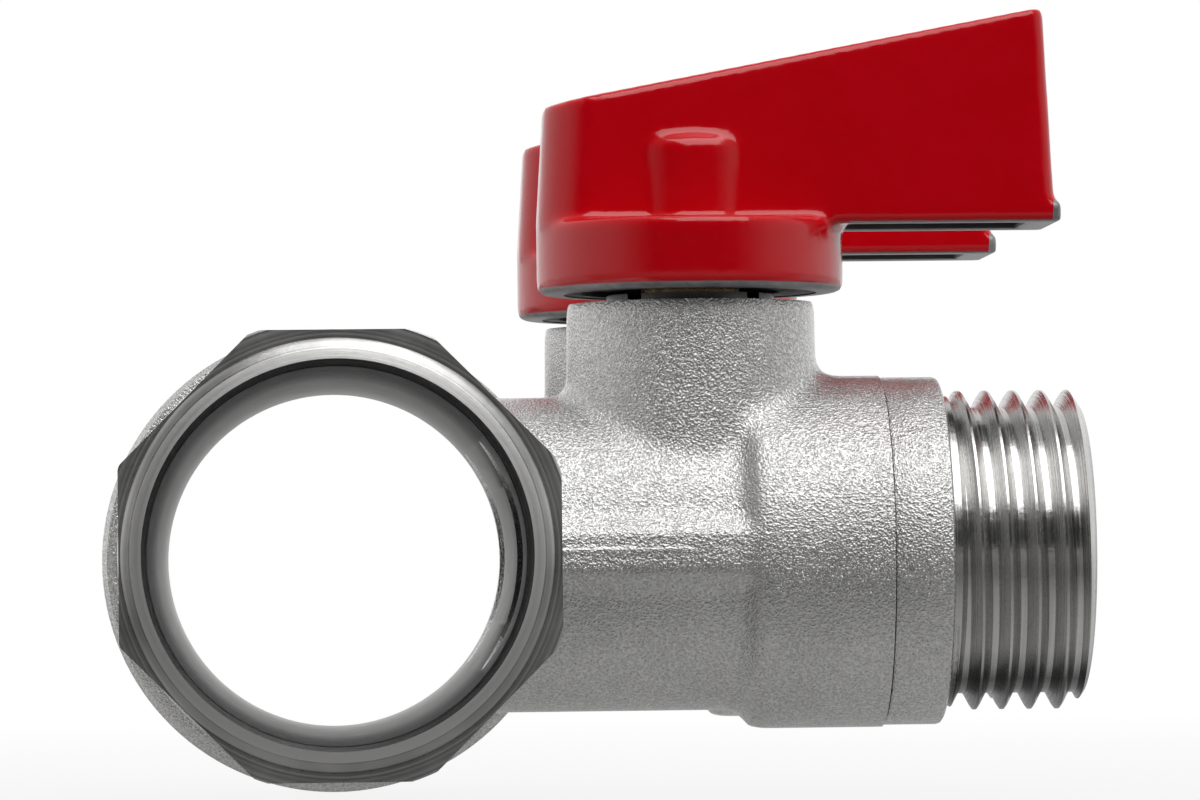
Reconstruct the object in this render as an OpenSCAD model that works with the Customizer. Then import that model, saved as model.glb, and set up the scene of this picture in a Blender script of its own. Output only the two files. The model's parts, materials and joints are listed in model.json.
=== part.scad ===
// Twin ball valve: a threaded run with two side outlets, each with its own ball valve and lever.
// Origin: centre of the front port's mouth. +X along the outlets, +Y along the run, +Z up the stems.

/* [Run] */
// Distance from the front face to the first stem axis
front_reach = 24; // [22:0.5:32]
// Distance between the two stem axes
valve_pitch = 36; // [36:1:60]
// Distance from the second stem axis to the rear face
rear_reach = 18; // [18:0.5:30]
// Wall of the run around its plain bore
run_wall = 1.3; // [1.2:0.05:3]
// Minor diameter of the pipe thread in both ports
port_minor_d = 24.3; // [22:0.1:25]
// Major diameter of the pipe thread in both ports
port_major_d = 26.441; // [25.6:0.1:30]
// Depth of the thread in each port
port_depth = 11.5; // [8:0.5:12.5]
// How much wider the plain bore is than the ports' threads, on the radius
bore_relief = 0.2; // [0.1:0.05:0.5]
// Wall left between the front thread and the middle of an octagon flat
octagon_wall = 0.65; // [0.6:0.05:4]
// Length of the octagon
octagon_length = 10; // [6:0.5:12]
// How far the turned chamfer cuts the octagon's corners back
octagon_corner_cut = 0.5; // [0.2:0.05:0.8]
// Width of the flat turned ring around the front mouth
octagon_ring = 1.15; // [0.5:0.05:1.4]
// Wall around the rear thread
rear_wall = 3.7; // [2:0.1:6]
// Length of the rear collar
rear_collar_length = 11; // [6:0.5:14]
// Chamfer on the rear collar's edges
rear_chamfer = 0.8; // [0.3:0.1:1.5]

/* [Ball and seats] */
// Diameter of the ball
ball_d = 16; // [14:0.5:20]
// Diameter of the waterway through the ball and its seats
waterway_d = 9.6; // [7:0.2:10]
// Gap between the ball and its chamber
ball_clearance = 0.3; // [0.2:0.05:0.6]
// How far a seat ring reaches round the ball
seat_wrap = 1.25; // [0.8:0.05:1.5]
// Thickness of a seat ring behind the ball
seat_backing = 1.45; // [1:0.05:2.5]
// Metal between the run and the ball chamber
inlet_land = 2.1; // [1.2:0.1:4]
// Wall of the branch around the ball chamber
branch_wall = 1.95; // [1.5:0.05:4]
// Height of the raised rib along the branch's parting line
rib_height = 3.6; // [2:0.1:6]
// How far the rib stands out of the branch
rib_stand = 0.5; // [0.3:0.05:0.8]

/* [Outlet connector] */
// Step from the ball chamber out to the connector's socket
socket_step = 1.15; // [0.8:0.05:2]
// Wall of the body around the connector's socket
socket_wall = 2.05; // [1.5:0.05:4]
// Length of the connector that is screwed into the body
spigot_length = 4.6; // [4.5:0.1:9]
// Length of the connector's collar
collar_length = 3.9; // [2:0.1:8]
// Chamfer on the connector's collar
collar_chamfer = 0.6; // [0.2:0.1:1]
// Plain neck between the collar and the outlet's thread
outlet_undercut = 0.25; // [0.1:0.05:1]
// Major diameter of the outlet's pipe thread
outlet_major_d = 20.955; // [19:0.1:22]
// Pitch of the outlet's pipe thread
outlet_pitch = 1.814; // [1.2:0.05:2]
// Turns of thread on the outlet
outlet_turns = 5; // [4:1:8]
// Bore of the outlet's mouth
outlet_bore_d = 14; // [11:0.2:15]
// Thickness of the connector's O-ring
connector_ring_t = 1.1; // [0.8:0.1:1.4]

/* [Stem and seals] */
// Diameter of the stem
stem_d = 6.5; // [6:0.1:7]
// Diameter of the stem's foot, which keeps it in the body
stem_foot_d = 8.4; // [8:0.1:9]
// Height of the stem's foot
stem_foot_height = 1.35; // [1:0.05:2]
// Thickness of the stem's tongue
tongue_t = 3; // [2.4:0.1:3.6]
// Depth of the ball's slot for the tongue
slot_depth = 2.1; // [1.6:0.05:2.2]
// Thickness of the thrust washer above the stem's foot
thrust_washer_t = 0.8; // [0.5:0.05:1.2]
// Length of the stem's plain bearing in the body
bearing_length = 1.6; // [1.6:0.1:4]
// Thickness of the stem's O-ring
stem_ring_t = 0.9; // [0.7:0.05:1]
// Height of the packing ring
packing_height = 2; // [1.2:0.1:4]
// Diameter of the gland nut and its pocket
gland_d = 11; // [10.6:0.1:12]
// Height of the gland nut
gland_height = 2.7; // [2:0.1:4]
// How far the gland nut stands out of the neck
gland_stand = 0.75; // [0.4:0.05:0.8]
// Width of the gland nut's key slots
gland_slot_w = 1.2; // [0.8:0.1:1.6]
// Wall of the neck around the gland nut
neck_wall = 2.55; // [2:0.05:3]
// Across flats of the stem's square
stem_square = 4.5; // [4:0.1:4.6]
// Length of the stem's square
square_length = 5.6; // [4:0.1:6]

/* [Handle] */
// Diameter of the handle's hub
hub_d = 20.1; // [18.6:0.1:21]
// Height of the hub
hub_height = 4.65; // [4.2:0.05:6]
// Gap between the neck and the hub
hub_gap = 0.85; // [0.85:0.05:1.5]
// Reach of the lever from the stem axis to its end
lever_reach = 23.5; // [18:0.5:24]
// Thickness of the lever at its lower edge
lever_t = 10; // [8.6:0.1:11]
// Draft of the lever's faces, in degrees
lever_draft = 2.5; // [0.5:0.5:4]
// Height of the lever at its low end
lever_low_height = 8.45; // [7.6:0.05:11]
// Rise of the lever's top edge, in degrees
lever_rise = 10.8; // [4:0.1:16]
// Lean of the lever's end face
lever_lean = 0.6; // [0.2:0.1:2]
// Wall of the hollow lever
lever_wall = 1.4; // [1.2:0.1:2]
// Depth of the recess under the hub
recess_depth = 1.6; // [1.2:0.1:2]
// Wall at the lever's end
lever_end_wall = 2.4; // [1.5:0.1:4]
// How far the lip stands out round the lever's lower edge
lip_stand = 0.45; // [0.2:0.05:0.8]
// Height of the lip
lip_height = 1.2; // [0.6:0.1:2]
// Diameter of the boss on the lever's faces
boss_d = 11.4; // [11:0.1:13]
// Height of the boss above the hub
boss_height = 5.5; // [4.4:0.1:6]
// Angle that the lever turns through, in degrees
turn_angle = 90; // [60:5:90]
// Width of the stop lug on the neck, in degrees
stop_width = 30; // [20:1:40]

/* [Handle screw] */
// Diameter of the handle screw's thread
screw_d = 3; // [2.5:0.1:3]
// Diameter of the handle screw's head
screw_head_d = 5.5; // [5:0.1:5.6]
// Height of the handle screw's head
screw_head_height = 1.9; // [1.4:0.1:2.2]
// Length of the screw below its head
screw_length = 6; // [5:0.5:6.5]
// Thickness of the lock washer
lock_washer_t = 0.7; // [0.5:0.05:0.9]
// Floor of the handle under the lock washer
screw_floor = 1; // [0.8:0.1:1.4]

/* [Fits] */
// Radial clearance of turning fits
running_gap = 0.05; // [0.02:0.01:0.08]
// Radial clearance of screwed and seated fits
seat_gap = 0.05; // [0.02:0.01:0.08]
// Clearance between the lever's moving faces and what stands still
swing_gap = 0.35; // [0.3:0.05:0.5]

/* [Hidden] */
$fn = 96;
// A step past a face, so that a cut goes clean through it
past = 1;

// Pipe thread: depth, flats and the run of one flank, all from the pitch
function thread_depth(pitch) = 0.640327 * pitch;
function thread_flat(pitch) = pitch / 6;
function thread_flank(pitch) = pitch / 2 - thread_flat(pitch);

// Run
port_minor_r = port_minor_d / 2;
bore_r = port_minor_r + bore_relief;
run_r = bore_r + run_wall;
run_length = front_reach + valve_pitch + rear_reach;
octagon_af = port_major_d + 2 * octagon_wall;
octagon_point_r = octagon_af / 2 / cos(22.5);
octagon_corner_r = octagon_point_r - octagon_corner_cut;
octagon_ring_r = port_minor_r + octagon_ring;
octagon_chamfer = (octagon_corner_r - octagon_ring_r) * tan(30);
rear_r = port_major_d / 2 + rear_wall;

// Ball, seats and branch, along X from the run's axis
seat_lip = 0.3;
socket_relief = 0.6;
step_set_back = 2.4;
ball_r = ball_d / 2;
waterway_r = waterway_d / 2;
chamber_r = ball_r + ball_clearance;
seat_inner_r = waterway_r + seat_lip;
seat_touch = sqrt(ball_r * ball_r - seat_inner_r * seat_inner_r);
seat_front = seat_touch - seat_wrap;
seat_back = seat_touch + seat_backing;
stem_x = run_r + inlet_land + seat_back;
branch_r = chamber_r + branch_wall;
socket_r = chamber_r + socket_step;
shoulder_r = socket_r + socket_wall;
spigot_x = stem_x + seat_back;
seam_x = spigot_x + spigot_length;
collar_x = seam_x + collar_length;
thread_x = collar_x + outlet_undercut;
outlet_x = thread_x + outlet_turns * outlet_pitch;
step_x = spigot_x - socket_relief - socket_wall - step_set_back;
step_run = shoulder_r - branch_r;

// Outlet connector
collar_step = 0.1;
groove_edge = 0.35;
mouth_chamfer = 0.2;
outlet_r = outlet_major_d / 2;
outlet_root_r = outlet_r - thread_depth(outlet_pitch);
collar_r = shoulder_r - collar_step;
spigot_r = socket_r - seat_gap;
ring_groove_end = seam_x - groove_edge;
ring_groove_x = ring_groove_end - connector_ring_t - 2 * seat_gap;
ring_groove_r = spigot_r - connector_ring_t;

// Stem stack, up Z from the run's axis
foot_gap = 0.15;
tongue_gap = 0.2;
foot_z = chamber_r + foot_gap;
washer_z = foot_z + stem_foot_height;
bearing_z = washer_z + thrust_washer_t;
pocket_z = bearing_z + bearing_length;
gland_z = pocket_z + packing_height;
gland_top = gland_z + gland_height;
neck_top = gland_top - gland_stand;
stem_r = stem_d / 2;
foot_r = stem_foot_d / 2;
stem_bore_r = stem_r + running_gap;
gland_r = gland_d / 2;
neck_r = gland_r + neck_wall;
stem_groove_r = stem_r - stem_ring_t;

// Handle stack
stop_thickness = 0.9;
lever_drop = 0.85;
square_gap = 0.2;
well_gap = 0.2;
tail_set_back = 0.05;
screw_tip_gap = 0.8;
hub_z = neck_top + hub_gap;
hub_top = hub_z + hub_height;
hub_r = hub_d / 2;
recess_r = gland_r + swing_gap;
recess_z = hub_z + recess_depth;
stop_r = recess_r + stop_thickness;
stop_z = recess_z - swing_gap;
lever_z = hub_top - lever_drop;
square_z = recess_z + square_gap;
square_top = square_z + square_length;
socket_top = square_top + swing_gap;
washer_seat_z = socket_top + screw_floor;
head_z = washer_seat_z + lock_washer_t;
head_r = screw_head_d / 2;
well_r = head_r + well_gap;
screw_r = screw_d / 2;
lever_tail = hub_r - tail_set_back;
boss_top = hub_top + boss_height;
function lever_top(x) = lever_z + lever_low_height + (x + lever_tail) * tan(lever_rise);

// Colours
nickel = [0.74, 0.74, 0.73];
bright_nickel = [0.82, 0.82, 0.81];
brass = [0.80, 0.66, 0.36];
red_paint = [0.66, 0.01, 0.05];
fluoropolymer = [0.95, 0.95, 0.93];
rubber = [0.08, 0.08, 0.08];
zinc_steel = [0.66, 0.68, 0.70];

// Places
front_y = front_reach;
rear_y = front_reach + valve_pitch;
module at_stem(y) { translate([stem_x, y, 0]) children(); }
module about_branch(y) { translate([0, y, 0]) rotate([0, 90, 0]) children(); }
module about_run() { rotate([-90, 0, 0]) children(); }
module ring(inner_r, outer_r, height) {
    difference() {
        cylinder(r = outer_r, h = height);
        translate([0, 0, -past]) cylinder(r = inner_r, h = height + 2 * past);
    }
}
module o_ring(inner_r, thickness) {
    rotate_extrude() translate([inner_r + thickness / 2, 0]) circle(d = thickness, $fn = 48);
}

// One turn of thread in section, as [radius, distance] pairs that start at the foot of a rising flank
function thread_turn(start, root_r, crest_r, pitch) = [
    [root_r, start],
    [crest_r, start + thread_flank(pitch)],
    [crest_r, start + thread_flank(pitch) + thread_flat(pitch)],
    [root_r, start + 2 * thread_flank(pitch) + thread_flat(pitch)],
];
function thread_turns(start, turns, root_r, crest_r, pitch) =
    [for (i = [0 : turns - 1]) each thread_turn(start + i * pitch, root_r, crest_r, pitch)];

// Run: octagon, tube and rear collar outside, both ports and the plain bore inside
module run_outside() {
    about_run() {
        intersection() {
            rotate([0, 0, 22.5]) cylinder(r = octagon_point_r, h = octagon_length, $fn = 8);
            rotate_extrude() polygon([
                [0, 0],
                [octagon_ring_r, 0],
                [octagon_corner_r, octagon_chamfer],
                [octagon_corner_r, octagon_length],
                [0, octagon_length],
            ]);
        }
        translate([0, 0, octagon_length / 2]) cylinder(r = run_r, h = run_length - octagon_length);
        translate([0, 0, run_length - rear_collar_length]) rotate_extrude() polygon([
            [0, 0],
            [rear_r - rear_chamfer, 0],
            [rear_r, rear_chamfer],
            [rear_r, rear_collar_length - rear_chamfer],
            [rear_r - rear_chamfer, rear_collar_length],
            [0, rear_collar_length],
        ]);
    }
}
module run_inside() {
    rear_port_y = run_length - port_depth;
    about_run() rotate_extrude() polygon([
        [0, -past],
        [port_minor_r, -past],
        [port_minor_r, port_depth],
        [bore_r, port_depth + bore_relief],
        [bore_r, rear_port_y - bore_relief],
        [port_minor_r, rear_port_y],
        [port_minor_r, run_length + past],
        [0, run_length + past],
    ]);
}

// Branch: tube, shoulder, rib and neck outside
module branch_outside(y) {
    about_branch(y) rotate_extrude() polygon([
        [0, 0],
        [branch_r, 0],
        [branch_r, step_x],
        [shoulder_r, step_x + step_run],
        [shoulder_r, seam_x],
        [0, seam_x],
    ]);
    translate([0, y - branch_r - rib_stand, -rib_height / 2])
        cube([step_x + step_run, 2 * (branch_r + rib_stand), rib_height]);
    at_stem(y) {
        cylinder(r = neck_r, h = neck_top);
        rotate([0, 0, 90 - stop_width / 2]) rotate_extrude(angle = stop_width)
            translate([recess_r + swing_gap / 2, neck_top - past])
                square([stop_r - recess_r - swing_gap / 2, stop_z - neck_top + past]);
    }
}

// Branch: waterway, ball chamber, connector socket and stem bores inside
module branch_inside(y) {
    about_branch(y) rotate_extrude() polygon([
        [0, 0],
        [waterway_r, 0],
        [waterway_r, stem_x - seat_back],
        [chamber_r, stem_x - seat_back],
        [chamber_r, spigot_x - socket_relief],
        [socket_r, spigot_x - socket_relief],
        [socket_r, seam_x + past],
        [0, seam_x + past],
    ]);
    at_stem(y) rotate_extrude() polygon([
        [0, 0],
        [foot_r + running_gap, 0],
        [foot_r + running_gap, bearing_z],
        [stem_bore_r, bearing_z],
        [stem_bore_r, pocket_z],
        [gland_r + seat_gap, pocket_z],
        [gland_r + seat_gap, neck_top + past],
        [0, neck_top + past],
    ]);
}

module manifold_body() {
    color(nickel) difference() {
        union() {
            run_outside();
            for (y = [front_y, rear_y]) branch_outside(y);
        }
        run_inside();
        for (y = [front_y, rear_y]) branch_inside(y);
    }
}

// Outlet connector: spigot with its O-ring groove, collar and threaded outlet
module outlet_connector(y) {
    first_thread = thread_x + thread_flat(outlet_pitch);
    color(nickel) about_branch(y) difference() {
        rotate_extrude() polygon(concat(
            [[0, spigot_x], [spigot_r, spigot_x], [spigot_r, ring_groove_x]],
            [[ring_groove_r, ring_groove_x], [ring_groove_r, ring_groove_end], [spigot_r, ring_groove_end]],
            [[spigot_r, seam_x], [collar_r, seam_x], [collar_r, collar_x - collar_chamfer]],
            [[collar_r - collar_chamfer, collar_x], [outlet_root_r, collar_x]],
            thread_turns(first_thread, outlet_turns, outlet_root_r, outlet_r, outlet_pitch),
            [[outlet_root_r - mouth_chamfer, outlet_x], [0, outlet_x]]
        ));
        rotate_extrude() polygon([
            [0, spigot_x - past],
            [waterway_r, spigot_x - past],
            [waterway_r, seam_x],
            [outlet_bore_d / 2, seam_x + outlet_bore_d / 2 - waterway_r],
            [outlet_bore_d / 2, outlet_x + past],
            [0, outlet_x + past],
        ]);
    }
}
module connector_o_ring(y) {
    color(rubber) translate([ring_groove_x + seat_gap + connector_ring_t / 2, 0, 0])
        about_branch(y) o_ring(ring_groove_r + seat_gap, connector_ring_t - seat_gap);
}

// Ball with its waterway and the slot that the stem's tongue drives
module ball(y) {
    slot_w = tongue_t + 2 * running_gap;
    color(bright_nickel) at_stem(y) difference() {
        sphere(r = ball_r);
        rotate([0, 90, 0]) cylinder(r = waterway_r, h = 2 * (ball_r + past), center = true);
        translate([-slot_w / 2, -ball_r - past, ball_r - slot_depth])
            cube([slot_w, 2 * (ball_r + past), slot_depth + past]);
    }
}

// Seat ring on the run's side, and its mirror on the outlet's side
module seat_ring() {
    rotate([0, -90, 0]) difference() {
        translate([0, 0, seat_front]) ring(seat_inner_r, chamber_r - seat_gap, seat_back - seat_front);
        sphere(r = ball_r + seat_gap);
    }
}
module inlet_seat(y) { color(fluoropolymer) at_stem(y) seat_ring(); }
module outlet_seat(y) { color(fluoropolymer) at_stem(y) mirror([1, 0, 0]) seat_ring(); }

// Stem: tongue, foot, plain shaft with its O-ring groove, and the square under the handle
module stem(y) {
    tongue_set_in = 0.15;
    tongue_reach = sqrt(foot_r * foot_r - tongue_t * tongue_t / 4) - tongue_set_in;
    groove_z = bearing_z + (bearing_length - stem_ring_t) / 2;
    color(brass) at_stem(y) difference() {
        union() {
            rotate_extrude() polygon([
                [0, foot_z],
                [foot_r, foot_z],
                [foot_r, washer_z],
                [stem_r, washer_z],
                [stem_r, groove_z - seat_gap],
                [stem_groove_r, groove_z - seat_gap],
                [stem_groove_r, groove_z + stem_ring_t + seat_gap],
                [stem_r, groove_z + stem_ring_t + seat_gap],
                [stem_r, square_z],
                [0, square_z],
            ]);
            translate([-tongue_t / 2, -tongue_reach, ball_r - slot_depth + tongue_gap])
                cube([tongue_t, 2 * tongue_reach, foot_z - ball_r + slot_depth]);
            translate([-stem_square / 2, -stem_square / 2, square_z - past])
                cube([stem_square, stem_square, square_length + past]);
        }
        translate([0, 0, head_z - screw_length - screw_tip_gap])
            cylinder(r = screw_r + seat_gap, h = square_top - head_z + screw_length + screw_tip_gap + past);
    }
}
module stem_o_ring(y) {
    ring_z = bearing_z + bearing_length / 2;
    color(rubber) at_stem(y) translate([0, 0, ring_z])
        o_ring(stem_groove_r + seat_gap, stem_ring_t - seat_gap);
}
module thrust_washer(y) {
    color(fluoropolymer) at_stem(y) translate([0, 0, washer_z])
        ring(stem_bore_r, foot_r, thrust_washer_t);
}
module packing(y) {
    color(fluoropolymer) at_stem(y) translate([0, 0, pocket_z])
        ring(stem_bore_r, gland_r, packing_height);
}

// Gland nut: a round nut with four key slots across its top
module gland_nut(y) {
    color(bright_nickel) at_stem(y) translate([0, 0, gland_z]) difference() {
        ring(stem_bore_r + running_gap, gland_r, gland_height);
        for (a = [45, 135]) rotate([0, 0, a])
            translate([-gland_r - past, -gland_slot_w / 2, gland_height - gland_stand])
                cube([2 * (gland_r + past), gland_slot_w, gland_stand + past]);
    }
}

// Lever: a side outline with its corners rounded by arcs, cut to the lever's plan and draft
function arc(centre_x, centre_z, radius, from, to) = [
    for (i = [0 : 6]) let (a = from + (to - from) * i / 6)
        [centre_x + radius * cos(a), centre_z + radius * sin(a)]
];
module lever_outline() {
    tail_round = 1.6;
    end_round = 1;
    tail_x = tail_round - lever_tail;
    end_x = lever_reach - lever_lean - end_round;
    slant = 1 / cos(lever_rise);
    polygon(concat(
        [[-lever_tail, lever_z], [lever_reach, lever_z]],
        arc(end_x, lever_top(end_x) - end_round * slant, end_round, 0, 90 + lever_rise),
        arc(tail_x, lever_top(tail_x) - tail_round * slant, tail_round, 90 + lever_rise, 180)
    ));
}
module lever_plan(half_t) {
    tail_flat = 0.6;
    tail_round = half_t - tail_flat;
    translate([tail_round - lever_tail, -half_t])
        square([lever_reach + lever_tail - tail_round, 2 * half_t]);
    translate([-lever_tail, -tail_flat]) square([tail_round, 2 * tail_flat]);
    for (side = [-tail_flat, tail_flat]) translate([tail_round - lever_tail, side]) circle(r = tail_round);
}
module lever_solid() {
    half_t = lever_t / 2;
    height = lever_top(lever_reach) - lever_z;
    difference() {
        intersection() {
            rotate([90, 0, 0]) translate([0, 0, -half_t]) linear_extrude(lever_t) lever_outline();
            translate([0, 0, lever_z]) linear_extrude(height) lever_plan(half_t);
        }
        for (side = [0, 1]) mirror([0, side, 0])
            translate([-lever_reach, half_t, lever_z + lip_height]) rotate([lever_draft, 0, 0])
                cube([3 * lever_reach, half_t, 2 * height]);
    }
}
module lever_hollow() {
    from_x = hub_r + swing_gap;
    to_x = lever_reach - lever_end_wall;
    roof = lever_wall / cos(lever_rise);
    half_t = lever_t / 2 - lever_wall - tan(lever_draft) * (lever_top(to_x) - lever_z);
    rotate([90, 0, 0]) translate([0, 0, -half_t]) linear_extrude(2 * half_t) polygon([
        [from_x, lever_z - past],
        [to_x, lever_z - past],
        [to_x, lever_top(to_x) - roof],
        [from_x, lever_top(from_x) - roof],
    ]);
}
module handle(y) {
    stop_spare = 3;
    stop_room = stop_width / 2 + stop_spare;
    screw_gap = 0.15;
    color(red_paint) at_stem(y) difference() {
        union() {
            translate([0, 0, hub_z]) cylinder(r = hub_r, h = hub_height);
            translate([0, 0, hub_z]) cylinder(d = boss_d, h = boss_top - hub_z);
            lever_solid();
            translate([0, -lever_t / 2 - lip_stand, lever_z])
                cube([lever_reach + lip_stand, lever_t + 2 * lip_stand, lip_height]);
        }
        lever_hollow();
        translate([0, 0, hub_z - past]) cylinder(r = recess_r, h = recess_z - hub_z + past);
        rotate([0, 0, 90 - stop_room]) rotate_extrude(angle = turn_angle + 2 * stop_room)
            translate([recess_r - swing_gap, hub_z - past])
                square([stop_r - recess_r + 2 * swing_gap, recess_z - hub_z + past]);
        translate([-stem_square / 2 - seat_gap, -stem_square / 2 - seat_gap, recess_z - past])
            cube([stem_square + 2 * seat_gap, stem_square + 2 * seat_gap, socket_top - recess_z + past]);
        translate([0, 0, recess_z - past]) cylinder(r = stem_bore_r, h = 2 * square_gap + past);
        translate([0, 0, socket_top - past]) cylinder(r = screw_r + screw_gap, h = screw_floor + 2 * past);
        translate([0, 0, washer_seat_z]) cylinder(r = well_r, h = lever_top(lever_reach) - washer_seat_z);
    }
}
module lock_washer(y) {
    split = 0.6;
    screw_gap = 0.1;
    color(zinc_steel) at_stem(y) translate([0, 0, washer_seat_z]) difference() {
        ring(screw_r + screw_gap, head_r, lock_washer_t);
        translate([0, -split / 2, -past]) cube([head_r + past, split, lock_washer_t + 2 * past]);
    }
}
module handle_screw(y) {
    rim = 0.6 * screw_head_height;
    crown_r = 0.7 * head_r;
    cross_w = 0.8;
    cross_length = 1.2 * head_r;
    color(zinc_steel) at_stem(y) translate([0, 0, head_z]) difference() {
        union() {
            rotate_extrude() polygon([
                [0, 0],
                [head_r, 0],
                [head_r, rim],
                [crown_r, screw_head_height],
                [0, screw_head_height],
            ]);
            translate([0, 0, -screw_length]) cylinder(r = screw_r, h = screw_length + rim / 2);
        }
        for (a = [0, 90]) rotate([0, 0, a])
            translate([-cross_length / 2, -cross_w / 2, screw_head_height - rim])
                cube([cross_length, cross_w, rim + past]);
    }
}

manifold_body();
handle(front_y);  // front_handle
handle_screw(front_y);  // front_handle_screw
lock_washer(front_y);  // front_lock_washer
stem(front_y);  // front_stem
stem_o_ring(front_y);  // front_stem_o_ring
ball(front_y);  // front_ball
thrust_washer(front_y);  // front_thrust_washer
packing(front_y);  // front_packing
gland_nut(front_y);  // front_gland_nut
inlet_seat(front_y);  // front_inlet_seat
outlet_seat(front_y);  // front_outlet_seat
outlet_connector(front_y);  // front_outlet_connector
connector_o_ring(front_y);  // front_connector_o_ring
handle(rear_y);  // rear_handle
handle_screw(rear_y);  // rear_handle_screw
lock_washer(rear_y);  // rear_lock_washer
stem(rear_y);  // rear_stem
stem_o_ring(rear_y);  // rear_stem_o_ring
ball(rear_y);  // rear_ball
thrust_washer(rear_y);  // rear_thrust_washer
packing(rear_y);  // rear_packing
gland_nut(rear_y);  // rear_gland_nut
inlet_seat(rear_y);  // rear_inlet_seat
outlet_seat(rear_y);  // rear_outlet_seat
outlet_connector(rear_y);  // rear_outlet_connector
connector_o_ring(rear_y);  // rear_connector_o_ring
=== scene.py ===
# %% [markdown]
# # A twin ball valve
# The object is a short run of pipe with two side outlets. Each outlet has its own ball valve and red
# lever. The bodies were forged and shot-blasted, then bored, threaded and plated with nickel. This
# lesson loads the engineering model as a fixed frame and dresses it: the forging, the outlets and the
# levers are modelled again with rounded edges and real threads, and every other piece gets its finish.

import json
import math

import bpy
from mathutils import Matrix, Vector

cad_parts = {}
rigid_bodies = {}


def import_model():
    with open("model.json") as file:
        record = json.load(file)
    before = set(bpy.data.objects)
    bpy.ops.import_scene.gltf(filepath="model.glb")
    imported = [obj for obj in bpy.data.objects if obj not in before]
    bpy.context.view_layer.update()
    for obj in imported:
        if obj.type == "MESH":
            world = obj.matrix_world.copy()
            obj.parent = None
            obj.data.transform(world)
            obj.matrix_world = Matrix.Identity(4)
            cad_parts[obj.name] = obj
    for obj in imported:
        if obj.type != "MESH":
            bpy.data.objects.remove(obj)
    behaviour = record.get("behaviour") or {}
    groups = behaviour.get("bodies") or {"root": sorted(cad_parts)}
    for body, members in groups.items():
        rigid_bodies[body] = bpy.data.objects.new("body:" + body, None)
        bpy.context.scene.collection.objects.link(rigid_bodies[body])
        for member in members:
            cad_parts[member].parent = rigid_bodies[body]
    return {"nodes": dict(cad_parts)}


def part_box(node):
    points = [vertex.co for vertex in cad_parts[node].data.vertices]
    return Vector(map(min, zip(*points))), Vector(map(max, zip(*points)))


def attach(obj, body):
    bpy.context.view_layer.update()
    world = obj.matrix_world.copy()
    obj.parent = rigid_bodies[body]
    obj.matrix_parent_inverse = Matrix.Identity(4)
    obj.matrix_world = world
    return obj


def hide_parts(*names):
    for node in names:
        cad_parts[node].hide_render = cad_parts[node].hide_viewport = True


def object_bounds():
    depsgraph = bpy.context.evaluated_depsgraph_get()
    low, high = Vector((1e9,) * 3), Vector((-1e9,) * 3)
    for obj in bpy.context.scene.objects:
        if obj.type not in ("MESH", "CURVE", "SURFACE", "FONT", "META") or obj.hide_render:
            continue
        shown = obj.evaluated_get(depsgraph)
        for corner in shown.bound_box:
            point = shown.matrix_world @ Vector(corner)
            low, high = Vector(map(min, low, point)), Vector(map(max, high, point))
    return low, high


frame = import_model()
nodes = frame["nodes"]
cad_low, cad_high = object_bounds()
scene = bpy.context.scene
scene.view_settings.view_transform = "Standard"
print("CAD box in mm:", [round(1000 * x, 2) for x in (*cad_low, *cad_high)])

# %% [markdown]
# ## Where the valves stand
# All sizes below are in millimetres, because that is how such a part is drawn. The two stems stand
# over the two balls, so the centres of the balls' boxes give their places.

# %% Places of the two valves
MM = 0.001


def centre_of(node):
    low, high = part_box(node)
    middle = (low + high) / 2
    return middle / MM


stem_x = centre_of("front_ball").x
front_y = centre_of("front_ball").y
rear_y = centre_of("rear_ball").y
valves_y = (front_y, rear_y)
print("stems at X", round(stem_x, 3), "and Y", round(front_y, 3), round(rear_y, 3))

# %% [markdown]
# ## The camera
# The photograph was taken with a long lens from nearly straight ahead of the front port. The camera
# could be placed by eye, but here the far end of the run, seen through the front port, gives the point
# that the run points at, and so the camera's place and turn follow from it.

# %% Camera
image_width = 1200
focal_pixels = 5807
sensor_width = 36
camera_data = bpy.data.cameras.new("camera")
camera_data.sensor_width = sensor_width
camera_data.lens = focal_pixels * sensor_width / image_width
camera_data.clip_start = 0.01
camera_data.clip_end = 20
camera = bpy.data.objects.new("camera", camera_data)
scene.collection.objects.link(camera)
scene.camera = camera
camera_place = Vector((-1.5, -356.33, -2.01)) * MM
camera_yaw = math.radians(2.841)
camera_pitch = math.radians(1.823)
camera_roll = math.radians(-0.66)
turn = Matrix.Rotation(-camera_yaw, 4, "Z") @ Matrix.Rotation(math.pi / 2 + camera_pitch, 4, "X")
camera.matrix_world = Matrix.Translation(camera_place) @ turn @ Matrix.Rotation(camera_roll, 4, "Z")
print("camera lens", round(camera_data.lens, 1), "mm at", [round(x, 4) for x in camera_place])

# %% [markdown]
# ## A wrapped socket
# Materials are built from nodes. Wiring each node by hand hides the thought behind a finish, so one
# small class wraps an output socket and lets Python's own operators add the Math nodes. Every other
# kind of node comes from its one method, which sets the node up first and then fills its sockets.


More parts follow.
